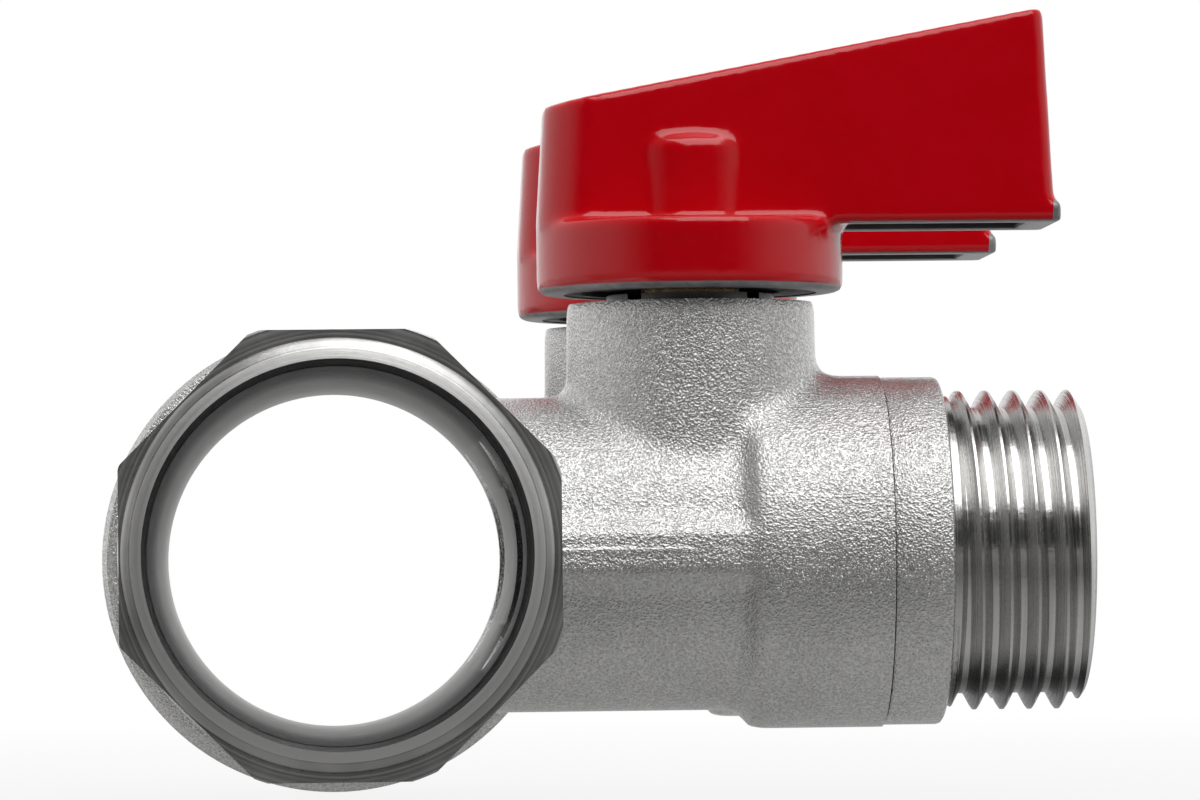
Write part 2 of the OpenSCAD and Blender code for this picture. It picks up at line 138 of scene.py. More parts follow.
# %% Shader maths as Python
class Wire:
    def __init__(self, tree, socket=None):
        self.tree = tree
        self.socket = socket

    def node(self, kind, settings, inputs, output=0):
        made = self.tree.nodes.new(kind)
        for name, value in settings.items():
            if name == "stops":
                set_stops(made.color_ramp, value)
            else:
                setattr(made, name, value)
        for name, value in inputs.items():
            if isinstance(value, Wire):
                self.tree.links.new(value.socket, made.inputs[name])
            else:
                made.inputs[name].default_value = value
        return Wire(self.tree, made.outputs[output])

    def into(self, socket):
        self.tree.links.new(self.socket, socket)

    def math(self, operation, first, second=0.0):
        return self.node("ShaderNodeMath", {"operation": operation}, {0: first, 1: second})

    def __add__(self, other):
        return self.math("ADD", self, other)

    def __radd__(self, other):
        return self.math("ADD", other, self)

    def __sub__(self, other):
        return self.math("SUBTRACT", self, other)

    def __rsub__(self, other):
        return self.math("SUBTRACT", other, self)

    def __mul__(self, other):
        return self.math("MULTIPLY", self, other)

    def __pow__(self, other):
        return self.math("POWER", self, other)


def set_stops(ramp, stops):
    while len(ramp.elements) < len(stops):
        ramp.elements.new(0.5)
    for element, (position, colour) in zip(ramp.elements, stops):
        element.position = position
        element.color = (*colour, 1)


def new_finish(name):
    material = bpy.data.materials.new(name)
    material.use_nodes = True
    shader = material.node_tree.nodes["Principled BSDF"]
    return material, Wire(material.node_tree), shader


def place_on_piece(wire):
    return wire.node("ShaderNodeTexCoord", {}, {}, "Object")


def coordinate(wire, place, letter):
    return wire.node("ShaderNodeSeparateXYZ", {}, {0: place}, letter)


def noise(wire, place, scale, detail, roughness=0.5):
    inputs = {"Vector": place, "Scale": scale, "Detail": detail, "Roughness": roughness}
    return wire.node("ShaderNodeTexNoise", {}, inputs)


def rings_of_noise(wire, distance, scale):
    inputs = {"W": distance, "Scale": scale, "Detail": 3, "Roughness": 0.6}
    return wire.node("ShaderNodeTexNoise", {"noise_dimensions": "1D"}, inputs)


def ramp(wire, factor, stops):
    return wire.node("ShaderNodeValToRGB", {"stops": stops}, {"Fac": factor})


def spread(wire, factor, low, high, to_low, to_high):
    inputs = {"Value": factor, "From Min": low, "From Max": high, "To Min": to_low, "To Max": to_high}
    return wire.node("ShaderNodeMapRange", {"clamp": True}, inputs)


def bump(wire, height, strength, depth):
    inputs = {"Strength": strength, "Distance": depth, "Height": height}
    return wire.node("ShaderNodeBump", {}, inputs)


print("finishes can be written as expressions")

# %% [markdown]
# ## Blasted nickel
# The outside of the forging was shot-blasted before it was plated, so it is a bright metal broken up
# into thousands of tiny dents, about a fifth of a millimetre across, that sparkle where they face a
# lamp. A rough metal alone would look like grey paint. The dents are therefore bumps, made from bent
# cells and a finer noise. The tops of the bumps are smoother than the dents between them. They are also
# brighter in colour: the darker dents are partly the plating's own tone and partly painted shade for
# the occlusion in the pits.


# %% Blasted nickel
def make_blasted_nickel():
    material, wire, shader = new_finish("blasted_nickel")
    place = place_on_piece(wire)
    sway = wire.node("ShaderNodeTexNoise", {}, {"Vector": place, "Scale": 3000, "Detail": 1}, "Color")
    sway_reach = (0.0002,) * 3
    bent = wire.node(
        "ShaderNodeVectorMath", {"operation": "MULTIPLY_ADD"}, {0: sway, 1: sway_reach, 2: place}
    )
    dents = wire.node(
        "ShaderNodeTexVoronoi",
        {"feature": "SMOOTH_F1"},
        {"Vector": bent, "Scale": 5000, "Smoothness": 0.35},
    )
    fine = noise(wire, place, 8000, 2, 0.6)
    height = dents * 0.35 + fine * 0.65
    clouds = noise(wire, place, 140, 3)
    # The colour follows height, so the dents are darker: partly plating tone, partly painted shade in the
    # pits.
    tone = clouds * 0.2 + height * 0.8
    colour = ramp(wire, tone, [(0.3, (0.42, 0.417, 0.41)), (0.65, (0.75, 0.744, 0.733))])
    colour.into(shader.inputs["Base Color"])
    shader.inputs["Metallic"].default_value = 1
    spread(wire, height, 0.25, 0.55, 0.34, 0.09).into(shader.inputs["Roughness"])
    bump(wire, height, 0.8, 0.00017).into(shader.inputs["Normal"])
    return material


blasted_nickel = make_blasted_nickel()
print("made", blasted_nickel.name)

# %% [markdown]
# ## Turned nickel
# The faces, bores and threads were cut on a lathe after blasting. The plating follows the tool's fine
# spiral marks, so these surfaces are bright, with thin rings round the axis they were turned about.
# A ring pattern could be an image, but distance from the axis is only a few Math nodes, and noise in
# one dimension along it gives uneven lines, as a real tool does. Two things differ from place to place.
# Inside satin_radius the lip round the port is paler and more satin. Below the height shaded_below the
# outlets are darker, a painted shade for the shadowed floor that their undersides mirror. A radius of
# zero, and a height of a metre below the object, leave these out.


# %% Turned nickel
def nickel_tone(level):
    return (level, 0.992 * level, 0.977 * level)


def make_turned_nickel(
    name, axis, offset, dark, light, gloss, ring_scale, satin_radius=0, shaded_below=-1
):
    material, wire, shader = new_finish(name)
    place = place_on_piece(wire)
    centred = wire.node("ShaderNodeVectorMath", {"operation": "SUBTRACT"}, {0: place, 1: offset})
    split = [coordinate(wire, centred, letter) for letter in "XYZ"]
    along = split.pop("XYZ".index(axis))
    across = (split[0] ** 2.0 + split[1] ** 2.0) ** 0.5
    lines = rings_of_noise(wire, across + along * 0.8, ring_scale)
    grain = noise(wire, place, 2500, 2)
    stain = noise(wire, place, 160, 3)
    satin_edge = 0.00003
    satin = spread(wire, across, satin_radius - satin_edge, satin_radius + satin_edge, 1, 0)
    # Painted shade: the colour darkens below a set height, for the shadowed floor that the outlets'
    # undersides mirror.
    shade_depth = 0.0018
    unshaded = spread(wire, coordinate(wire, place, "Z"), shaded_below - shade_depth, shaded_below, 0.1, 1)
    tone = (lines * 0.5 + stain * 0.5 + satin * 0.3) * unshaded
    stops = [(0, nickel_tone(0.05)), (0.3, nickel_tone(dark)), (0.7, nickel_tone(light))]
    ramp(wire, tone, stops).into(shader.inputs["Base Color"])
    shader.inputs["Metallic"].default_value = 1
    rough = spread(wire, lines * 0.7 + grain * 0.3, 0.3, 0.7, *gloss) + satin * 0.14
    rough.into(shader.inputs["Roughness"])
    bump(wire, lines + grain * 0.6, 0.3, 0.00006).into(shader.inputs["Normal"])
    return material


run_look = {
    "dark": 0.22,
    "light": 0.66,
    "gloss": (0.26, 0.42),
    "ring_scale": 3500,
    "satin_radius": 0.01272,
}
outlet_look = {
    "dark": 0.46,
    "light": 0.70,
    "gloss": (0.16, 0.3),
    "ring_scale": 6000,
    "shaded_below": -0.0066,
}
turned_run = make_turned_nickel("turned_run_nickel", "Y", (0, 0, 0), **run_look)
turned_front = make_turned_nickel("turned_front_outlet_nickel", "X", (0, front_y * MM, 0), **outlet_look)
turned_rear = make_turned_nickel("turned_rear_outlet_nickel", "X", (0, rear_y * MM, 0), **outlet_look)
print("made", turned_run.name, turned_front.name, turned_rear.name)

# %% [markdown]
# ## The drilled bore
# The bore of the run was drilled and tapped and never polished, so it is dull. Its colour is painted
# light and shade. It is darkest near the front thread, as painted shade where the thread shades the bore,
# and it lightens further in. Near the far end a painted reflection stands in for the bright backdrop
# mirrored there. The depth along the bore is one coordinate, so a ramp over it is enough, with rings of
# noise for the tool.


# %% Drilled bore
def make_drilled_nickel():
    material, wire, shader = new_finish("drilled_run_nickel")
    place = place_on_piece(wire)
    depth = coordinate(wire, place, "Y")
    rings = rings_of_noise(wire, depth, 1500)
    grain = noise(wire, place, 900, 3)
    # Painted shade: dark near the front thread, lighter deeper in.
    clear = spread(wire, depth + grain * 0.012, 0.028, 0.042, 0, 1)
    # Painted reflection: a lighter band at the far end of the bore.
    painted_far_sheen = spread(wire, depth, 0.05, 0.063, 0, 0.2)
    tone = clear * 0.6 + rings * 0.25 + painted_far_sheen
    stops = [(0.1, nickel_tone(0.06)), (0.55, nickel_tone(0.28)), (0.85, nickel_tone(0.5)),
             (1, nickel_tone(0.75))]
    ramp(wire, tone, stops).into(shader.inputs["Base Color"])
    shader.inputs["Metallic"].default_value = 1
    spread(wire, rings * 0.5 + grain * 0.5, 0.3, 0.7, 0.42, 0.58).into(shader.inputs["Roughness"])
    bump(wire, rings + grain * 0.5, 0.6, 0.0002).into(shader.inputs["Normal"])
    return material


drilled_run = make_drilled_nickel()
print("made", drilled_run.name)

# %% [markdown]
# ## Red enamel
# The levers are zinc castings under a thick, glossy red enamel. Enamel is a deep, even colour with a
# smooth skin, so the base colour hardly changes, and the life is in the gloss. A faint orange peel and
# a few dust specks keep the reflections from being those of a perfect mirror. The enamel was sprayed
# from above and stops just over the lower edges, where a strip of grey casting shows. The hub, the grip
# and the lip at its end have their edges at different heights, so the paint's edge steps up twice.


# %% Red enamel
hub_low = 17.0
lever_low = 21.3
grip_start = 10.0
lip_start = 23.4
bare_strip = {"hub": 0.42, "grip": 0.17, "lip": 1.3}


def make_red_enamel():
    material, wire, shader = new_finish("red_enamel")
    place = place_on_piece(wire)
    clouds = noise(wire, place, 180, 3)
    peel = noise(wire, place, 1100, 2)
    specks = wire.node("ShaderNodeTexVoronoi", {}, {"Vector": place, "Scale": 700})
    speck = spread(wire, specks, 0.0, 0.16, 1, 0)
    red = ramp(wire, clouds, [(0.35, (0.60, 0.0002, 0.005)), (0.65, (0.63, 0.0005, 0.007))])
    grey = ramp(wire, peel, [(0.3, (0.24, 0.24, 0.245)), (0.7, (0.38, 0.38, 0.385))])
    along = coordinate(wire, place, "X") * (1 / MM) - stem_x
    height = coordinate(wire, place, "Z") * (1 / MM) + peel * 0.1
    on_grip = spread(wire, along, grip_start, grip_start + 0.1, 0, 1)
    on_lip = spread(wire, along, lip_start, lip_start + 0.1, 0, 1)
    hub_edge = hub_low + bare_strip["hub"]
    grip_edge = lever_low + bare_strip["grip"]
    paint_edge = hub_edge + on_grip * (grip_edge - hub_edge) + on_lip * bare_strip["lip"]
    bare = spread(wire, height - paint_edge, -0.04, 0.04, 1, 0)
    colour = wire.node("ShaderNodeMix", {"data_type": "RGBA"}, {0: bare, 6: red, 7: grey}, 2)
    colour.into(shader.inputs["Base Color"])
    (bare * 0.6).into(shader.inputs["Metallic"])
    rough = spread(wire, peel, 0.3, 0.7, 0.1, 0.18) + bare * 0.25
    rough.into(shader.inputs["Roughness"])
    bump(wire, peel + speck * 0.6, 0.16, 0.00008).into(shader.inputs["Normal"])
    return material


red_enamel = make_red_enamel()
print("made", red_enamel.name)

# %% [markdown]
# ## The finishes inside
# A chrome ball turns between two white seats. Its stem is brass, its seals are black rubber, and the
# screw on top is zinc-plated steel. They are seen through the ports and under the hub, so each still
# gets a finish with its own grain, from one recipe with different colours. The same recipe makes the
# nickel of the gland nut, made dark as painted shade for the shadowed gap under the hub, and the bare
# casting under the lever, made near-black as painted shade for the shadow in the lever's hollow and
# fits. Each row has the finish's name, its two tones, how metallic and how rough it is, and the scale
# and depth of its grain.


# %% Finishes inside
def make_plain_finish(name, dark, light, metallic, rough, grain_scale, depth):
    material, wire, shader = new_finish(name)
    place = place_on_piece(wire)
    grain = noise(wire, place, grain_scale, 3)
    clouds = noise(wire, place, grain_scale / 9, 2)
    colour = ramp(wire, grain * 0.4 + clouds * 0.6, [(0.3, dark), (0.7, light)])
    colour.into(shader.inputs["Base Color"])
    shader.inputs["Metallic"].default_value = metallic
    spread(wire, grain, 0.3, 0.7, 0.8 * rough, 1.25 * rough).into(shader.inputs["Roughness"])
    bump(wire, grain, 0.2, depth).into(shader.inputs["Normal"])
    return material


inside_looks = {
    "chrome": ("chrome", (0.66, 0.66, 0.67), (0.76, 0.76, 0.77), 1, 0.1, 900, 0.00001),
    # The gland nut's nickel is darkened as painted shade for the gap under the hub.
    "nickel": ("shade_darkened_nickel", (0.08, 0.079, 0.077), (0.15, 0.148, 0.144), 1, 0.3, 1500, 0.00003),
    "brass": ("brass", (0.62, 0.42, 0.16), (0.78, 0.56, 0.25), 1, 0.26, 1600, 0.00002),
    "seat": ("white_seat", (0.76, 0.75, 0.72), (0.85, 0.84, 0.81), 0, 0.45, 1400, 0.00002),
    "seal": ("black_seal", (0.012, 0.012, 0.012), (0.03, 0.03, 0.03), 0, 0.5, 2000, 0.00003),
    # This near-black casting is painted shade for the lever's hollow and the fits under its hub.
    "bare": ("bare_casting_painted_shade", (0.03, 0.03, 0.031), (0.08, 0.08, 0.082), 0.7, 0.5, 1500, 0.00004),
    "zinc": ("zinc_steel", (0.50, 0.51, 0.53), (0.68, 0.69, 0.70), 1, 0.25, 1800, 0.00002),
}
inside = {key: make_plain_finish(*look) for key, look in inside_looks.items()}
node_finish = {
    "ball": "chrome",
    "stem": "brass",
    "gland_nut": "nickel",
    "inlet_seat": "seat",
    "outlet_seat": "seat",
    "thrust_washer": "seat",
    "packing": "seat",
    "stem_o_ring": "seal",
    "connector_o_ring": "seal",
    "handle_screw": "zinc",
    "lock_washer": "zinc",
}
for valve in ("front", "rear"):
    for node, finish in node_finish.items():
        mesh = nodes[f"{valve}_{node}"].data
        mesh.materials.clear()
        mesh.materials.append(inside[finish])
print("dressed", 2 * len(node_finish), "pieces that keep their CAD shape")

# %% [markdown]
# ## Tools of the workshop
# The metal pieces are turned shapes, and a lathe's work is easy to copy: a single point is pulled along
# half the outline in edit mode, and the line is spun once round. Tools that cut and fuse pieces are
# modifiers, applied at once, as the real cuts are.


# %% Workshop helpers
def pick(obj):
    bpy.ops.object.select_all(action="DESELECT")
    obj.select_set(True)
    bpy.context.view_layer.objects.active = obj


def settle(obj):
    pick(obj)
    bpy.ops.object.transform_apply(location=True, rotation=True, scale=True)
    return obj


def pulled_line(name, outline):
    bpy.ops.object.select_all(action="DESELECT")
    bpy.ops.mesh.primitive_plane_add(size=MM)
    obj = bpy.context.object
    obj.name = name
    bpy.ops.object.mode_set(mode="EDIT")
    bpy.ops.mesh.merge(type="CENTER")
    radius, height = outline[0]
    bpy.ops.transform.translate(value=(radius * MM, 0, height * MM))
    for next_radius, next_height in outline[1:]:
        pull = ((next_radius - radius) * MM, 0, (next_height - height) * MM)
        bpy.ops.mesh.extrude_region_move(TRANSFORM_OT_translate={"value": pull})
        radius, height = next_radius, next_height
    bpy.ops.mesh.select_all(action="SELECT")
    return obj


def laid_along(obj, axis, place):
    turns = {"X": (0, math.pi / 2, 0), "Y": (-math.pi / 2, 0, 0), "Z": (0, 0, 0)}
    obj.rotation_euler = turns[axis]
    obj.location = Vector(place) * MM
    return settle(obj)


def spun(name, outline, axis, place=(0, 0, 0)):
    obj = pulled_line(name, outline)
    bpy.ops.mesh.spin(steps=128, angle=2 * math.pi, center=(0, 0, 0), axis=(0, 0, 1))
    bpy.ops.mesh.select_all(action="SELECT")
    bpy.ops.mesh.remove_doubles(threshold=0.00001 * MM)
    bpy.ops.mesh.normals_make_consistent(inside=False)
    bpy.ops.object.mode_set(mode="OBJECT")
    return laid_along(obj, axis, place)


def block(name, low, high):
    bpy.ops.object.select_all(action="DESELECT")
    size = [(b - a) * MM for a, b in zip(low, high)]
    middle = [(a + b) / 2 * MM for a, b in zip(low, high)]
    bpy.ops.mesh.primitive_cube_add(size=1, location=middle, scale=size)
    obj = bpy.context.object
    obj.name = name
    return settle(obj)


def modify(obj, kind, **settings):
    pick(obj)
    modifier = obj.modifiers.new(kind.lower(), kind)
    for name, value in settings.items():
        setattr(modifier, name, value)
    bpy.ops.object.modifier_apply(modifier=modifier.name)
    return obj


def work(obj, operation, *tools):
    for tool in tools:
        modify(obj, "BOOLEAN", operation=operation, object=tool, solver="MANIFOLD",
               material_mode="TRANSFER")
        bpy.data.objects.remove(tool)
    return obj


def joined(name, pieces):
    bpy.ops.object.select_all(action="DESELECT")
    for piece in pieces:
        piece.select_set(True)
    bpy.context.view_layer.objects.active = pieces[0]
    bpy.ops.object.join()
    pieces[0].name = name
    return pieces[0]


def triangles(obj):
    return sum(len(face.vertices) - 2 for face in obj.data.polygons)


print("workshop ready")

# %% [markdown]
# ## The forging
# The body was forged as one piece, so its tubes run into each other through soft fillets. Bevels fail
# where round shapes meet at odd angles. Here the plain shapes are joined, and a voxel remesh melts them
# into one skin, which is then smoothed until its inner corners have the fillets of the real forging.
# The raised rib along each branch marks the parting line of the dies. It is added second, because it
# is sharper than the rest and would be smoothed away with it. Metal squeezed out between the dies was
# trimmed off along the rib and left a low, sharp line, which comes last and is not smoothed at all.

# %% Forging
outlet_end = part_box("front_outlet_connector")[1].x / MM
seam_x = outlet_end - 13.22
step_x = seam_x - 9.65
past_seam = seam_x + 2
run_radius = 13.67
branch_radius = 10.31
shoulder_radius = 11.55
neck_top = 16.9
grid = 0.42 * MM
run_line = [(0, 3), (run_radius, 3), (run_radius, 75), (0, 75)]
branch_line = [(0, 0), (branch_radius, 0), (branch_radius, step_x + 0.4),
               (shoulder_radius, step_x + 0.8), (shoulder_radius, past_seam), (0, past_seam)]
neck_line = [(0, 0), (8.5, 0), (8.2, 11), (8.15, neck_top), (0, neck_top)]
body_shapes = [spun("run_tube", run_line, "Y")]
for y in valves_y:
    body_shapes.append(spun("branch", branch_line, "X", (0, y, 0)))
    body_shapes.append(spun("neck", neck_line, "Z", (stem_x, y, 0)))
forging = joined("valve_body", body_shapes)
modify(forging, "REMESH", mode="VOXEL", voxel_size=grid)
modify(forging, "SMOOTH", factor=0.5, iterations=12)
print("forging:", triangles(forging), "triangles")


# %% Move chosen points
def shift(obj, chosen, move):
    pick(obj)
    bpy.ops.object.mode_set(mode="EDIT")
    bpy.ops.mesh.select_mode(type="VERT")
    bpy.ops.mesh.select_all(action="DESELECT")
    bpy.ops.object.mode_set(mode="OBJECT")
    for vertex in obj.data.vertices:
        vertex.select = chosen(vertex.co / MM)
    bpy.ops.object.mode_set(mode="EDIT")
    bpy.ops.transform.translate(value=[x * MM for x in move])
    bpy.ops.object.mode_set(mode="OBJECT")


print("points of a piece can be moved by their place")

# %% Ribs on the parting line
rib_root = 9
rib_end = step_x + 1.2
rib_base = 3.6
rib_slope = 2.3
parting_level = 0.2
die_halves = ((1, 11.1), (-1, 11.15))
rib_shapes = [forging]
for y in valves_y:
    for side in (-1, 1):
        for half, stand in die_halves:
            reach = sorted((y + side * rib_root, y + side * stand))
            level = sorted((parting_level, rib_base * half))
            rib = block("rib", (5, reach[0], level[0]), (rib_end, reach[1], level[1]))
            shift(rib, lambda p: (p.y - y) * side > 10 and p.z * half > 1, (0, 0, -rib_slope * half))
            rib_shapes.append(rib)
forging = joined("valve_body", rib_shapes)
modify(forging, "REMESH", mode="VOXEL", voxel_size=grid)
modify(forging, "SMOOTH", factor=0.5, iterations=3)
print("forging with ribs:", triangles(forging), "triangles")

# %% Trimmed flash on the ribs
flash_root = 10.85
flash_crest = 11.25
flash_low = -1.21
flash_high = 0.8
upper_slope = 0.57
lower_slope = 1.33
fade = 0.14
flash_lines = []
for y in valves_y:
    for side in (-1, 1):
        reach = sorted((y + side * flash_root, y + side * flash_crest))
        flash = block("flash_line", (12, reach[0], flash_low), (24, reach[1], flash_high))
        shift(flash, lambda p: (p.y - y) * side > 11 and p.z > 0, (0, 0, -upper_slope))
        shift(flash, lambda p: (p.y - y) * side > 11 and p.z < 0, (0, 0, lower_slope))
        shift(flash, lambda p: p.x > 20, (0, -side * fade, 0))
        flash_lines.append(flash)
work(forging, "UNION", *flash_lines)
print("flash lines:", len(flash_lines))


# %% Coat a piece
def coat(obj, material):
    obj.data.materials.clear()
    obj.data.materials.append(material)
    return obj


coat(forging, blasted_nickel)
print(forging.name, "wears", forging.data.materials[0].name)

# %% [markdown]
# ## The ends of the run
# The front end is an octagon for a spanner. It was forged, so its flats are a few tenths of a millimetre
# off centre. A lathe then took down its corners, faced it and left a rounded lip round the mouth. The
# rear end is a round collar. Both keep sharper edges than the forging, so the octagon is what two
# crossed squares and two lathe shapes share, and both ends are fused on afterwards.

# %% Octagon and rear collar
octagon_length = 10
corner_radius = 14.64
face_depth = 0.58
run_length = 78
octagon = block("octagon", (-13.45, 0, -13.95), (13.8, octagon_length, 13.87))
crossed = block("crossed_square", (-13.45, -1, -13.38), (13.67, octagon_length + 1, 13.67))
crossed.rotation_euler = (0, math.radians(45), 0)
work(octagon, "INTERSECT", settle(crossed))
modify(octagon, "BEVEL", width=0.25 * MM, segments=3, limit_method="ANGLE")
coat(octagon, blasted_nickel)
corner_line = [(0, -1), (corner_radius, -1), (corner_radius, 9.3), (13.7, octagon_length),
               (0, octagon_length)]
work(octagon, "INTERSECT", coat(spun("corner_cut", corner_line, "Y"), blasted_nickel))
lip_line = [(12.0, 0), (12.7, 0.13), (12.74, 0.15), (13.05, 0.3), (13.24, 0.42), (13.36, face_depth)]
face_line = [(0, 0), *lip_line, (14.5, face_depth), (16, 2.08), (16, 12), (0, 12)]
work(octagon, "INTERSECT", coat(spun("face_cut", face_line, "Y"), turned_run))
collar_line = [(0, 67), (15.9, 67), (16.5, 67.25), (16.88, 67.9), (16.88, 77.2), (16.2, run_length),
               (0, run_length)]
rear_collar = coat(spun("rear_collar", collar_line, "Y"), blasted_nickel)
work(forging, "UNION", octagon, rear_collar)
print("with its ends:", triangles(forging), "triangles", [m.name for m in forging.data.materials])

# %% [markdown]
# ## Threads
# A pipe thread is one ridge wound round a cylinder. The Screw modifier winds a section just as a lathe
# does, and the ends of the coil are capped so that it is a solid. In a port the coil is part of the tap
# that cuts the hole, and a cone trims its start, as the run-in of a real tap does.


# %% Threads
thread_pitch = 1.814


def coil(name, section, turns, axis, place):
    obj = pulled_line(name, section)
    bpy.ops.mesh.edge_face_add()
    bpy.ops.mesh.delete(type="ONLY_FACE")
    bpy.ops.object.mode_set(mode="OBJECT")
    modify(obj, "SCREW", axis="Z", screw_offset=thread_pitch * MM, iterations=turns, steps=96,
           render_steps=96, use_merge_vertices=False)
    bpy.ops.object.mode_set(mode="EDIT")
    bpy.ops.mesh.select_all(action="SELECT")
    bpy.ops.mesh.fill_holes(sides=0)
    bpy.ops.mesh.select_all(action="SELECT")
    bpy.ops.mesh.normals_make_consistent(inside=False)
    bpy.ops.object.mode_set(mode="OBJECT")
    return laid_along(obj, axis, place)


def thread_section(foot, crest):
    rise = 0.2 * (crest - foot)
    low = [(foot - 0.25, -0.86), (foot, -0.74), (foot + rise, -0.6)]
    high = [(crest - rise, -0.24), (crest, -0.08)]
    half = low + high
    return half + [(radius, -height) for radius, height in reversed(half)]


port_turns = 8
front_coil = coil("front_port_coil", thread_section(12.15, 13.2), port_turns, "Y", (0, -1.2, 0))
run_in = [(0, 0.25), (12.2, 0.25), (13.35, 1.5), (13.35, 11.6), (0, 11.6)]
work(front_coil, "INTERSECT", spun("front_run_in", run_in, "Y"))
rear_coil = coil("rear_port_coil", thread_section(12.5, 13.25), port_turns, "Y", (0, 65.2, 0))
run_out = [(0, 66.8), (13.35, 66.8), (13.35, 76.5), (12.5, 77.75), (0, 77.75)]
work(rear_coil, "INTERSECT", spun("rear_run_out", run_out, "Y"))
past_end = run_length + 1
bore_line = [(0, -1), (12.07, -1), (12.07, 11.5), (12.02, 11.7), (12.02, 66.3), (12.45, 66.7),
             (12.45, 77.7), (12.75, run_length), (12.75, past_end), (0, past_end)]
tap = spun("run_bore", bore_line, "Y")
work(tap, "UNION", front_coil, rear_coil)
coat(tap, drilled_run)
print("tap:", triangles(tap), "triangles")

# %% [markdown]
# ## Cutting the body
# The branches are bored for the ball, its seats and the outlet, and the necks for the stem and its gland.
# Each passage also flares where it opens into the run. The other cutters follow the engineering model,
# so that every hidden piece has its room, and each cutter wears the finish that it leaves behind. A lug
# on top of each neck stops the lever at both ends of its turn.

# %% Cut the body
neck_face = 16.35
passage_radius = 4.8
chamber_radius = 8.3
socket_radius = 9.45
socket_mouth = 9.75
inlet_seat_x = stem_x - 7.614
outlet_seat_x = stem_x + 7.014
chamber_line = [(0, 5), (passage_radius, 5), (passage_radius, inlet_seat_x),
                (chamber_radius, inlet_seat_x), (chamber_radius, outlet_seat_x),
                (socket_radius, outlet_seat_x), (socket_radius, seam_x - 0.3), (socket_mouth, seam_x),
                (socket_mouth, seam_x + 1), (0, seam_x + 1)]
stem_line = [(0, 2), (4.25, 2), (4.25, 10.6), (3.3, 10.6), (3.3, 12.2), (5.55, 12.2), (5.55, 16.1),
             (5.8, neck_face), (5.8, 19), (0, 19)]
flare_line = [(0, 5), (7.5, 5), (7.5, 9.5), (passage_radius, 12.6), (0, 12.6)]
work(forging, "DIFFERENCE", tap)
saw = block("saw", (seam_x, -5, -25), (seam_x + 20, 90, 25))
work(forging, "DIFFERENCE", coat(saw, turned_front))
facing = block("facing_cut", (stem_x - 10, 0, neck_face), (stem_x + 10, run_length, 25))
work(forging, "DIFFERENCE", coat(facing, blasted_nickel))
for y, finish in zip(valves_y, (turned_front, turned_rear)):
    chamber = coat(spun("chamber", chamber_line, "X", (0, y, 0)), finish)
    stem_bore = coat(spun("stem_bore", stem_line, "Z", (stem_x, y, 0)), finish)
    flare = coat(spun("flare", flare_line, "X", (0, y, 0)), blasted_nickel)
    work(forging, "DIFFERENCE", flare, chamber, stem_bore)
    lug = block("stop_lug", (stem_x - 1.6, y + 6.1, 15.6), (stem_x + 1.6, y + 6.5, 18.2))
    work(forging, "UNION", coat(lug, blasted_nickel))
print("body:", triangles(forging), "triangles", [m.name for m in forging.data.materials])


# %% Put a piece on its body
def hand_over(obj, body, node):
    pick(obj)
    bpy.ops.object.shade_smooth_by_angle(angle=math.radians(35))
    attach(obj, body)
    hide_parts(node)
    print(obj.name, "rides on", body, "and has", triangles(obj), "triangles")


hand_over(forging, "manifold", "manifold_body")

# %% [markdown]
# ## The outlets
# Each outlet is a turned piece screwed into the branch. Its collar was blasted like the body, and its
# pipe thread was cut bright. The thread starts full at the mouth, behind a chamfer, and dies out
# against the collar, so a trimming shape shaves the coil at both ends.

# %% Outlets
collar_end = seam_x + 3.9
spigot_end = seam_x - 4.6
spigot_radius = 9.4
groove_near = seam_x - 0.35
groove_far = seam_x - 1.55
groove_radius = 8.3
collar_radius = 11.4
thread_root = 9.4
mouth_radius = 7.0
spigot = [(passage_radius, spigot_end), (spigot_radius, spigot_end), (spigot_radius, groove_far),
          (groove_radius, groove_far), (groove_radius, groove_near), (spigot_radius, groove_near),
          (spigot_radius, seam_x + 0.02)]
collar = [(11.15, seam_x + 0.02), (11.33, seam_x + 0.09), (collar_radius, seam_x + 0.25),
          (collar_radius, collar_end - 0.35), (11.34, collar_end - 0.15), (11.2, collar_end - 0.04),
          (11.0, collar_end)]
core = [(10.15, collar_end), (10.15, collar_end + 0.55), (thread_root, collar_end + 0.95),
        (thread_root, outlet_end - 0.45), (9.05, outlet_end), (7.2, outlet_end),
        (mouth_radius, outlet_end - 0.2), (mouth_radius, seam_x + 2.2), (passage_radius, seam_x)]
outline = spigot + collar + core
outlet = spun("front_outlet", [*outline, outline[0]], "X", (0, front_y, 0))
ridge = coil("outlet_coil", thread_section(9.35, 10.4775), 7, "X", (collar_end - 1.38, front_y, 0))
shave_start = collar_end - 0.1
shave_end = outlet_end - 0.05
shave = [(0, shave_start), (9.8, shave_start), (10.2, collar_end + 0.5), (10.6, collar_end + 1.3),
         (10.6, outlet_end - 0.8), (9.5, shave_end), (0, shave_end)]
work(ridge, "INTERSECT", spun("shave", shave, "X", (0, front_y, 0)))
work(outlet, "UNION", ridge)
print("outlet:", triangles(outlet), "triangles")


# %% Bright thread, blasted collar
def dress_outlet(obj, y, bright):
    coat(obj, blasted_nickel)
    obj.data.materials.append(bright)
    for face in obj.data.polygons:
        middle = face.center / MM
        across = math.hypot(middle.y - y, middle.z)
        on_collar = seam_x < middle.x < collar_end - 0.01 and across > 10.9
        face.material_index = 0 if on_collar else 1
    print(obj.name, "has", sum(f.material_index for f in obj.data.polygons), "bright faces")


def copy_back(obj, name):
    twin = obj.copy()
    twin.data = obj.data.copy()
    twin.name = name
    twin.data.name = name
    scene.collection.objects.link(twin)
    twin.location = (0, (rear_y - front_y) * MM, 0)
    return settle(twin)


rear_outlet = copy_back(outlet, "rear_outlet")
dress_outlet(outlet, front_y, turned_front)
dress_outlet(rear_outlet, rear_y, turned_rear)
hand_over(outlet, "manifold", "front_outlet_connector")
hand_over(rear_outlet, "manifold", "rear_outlet_connector")
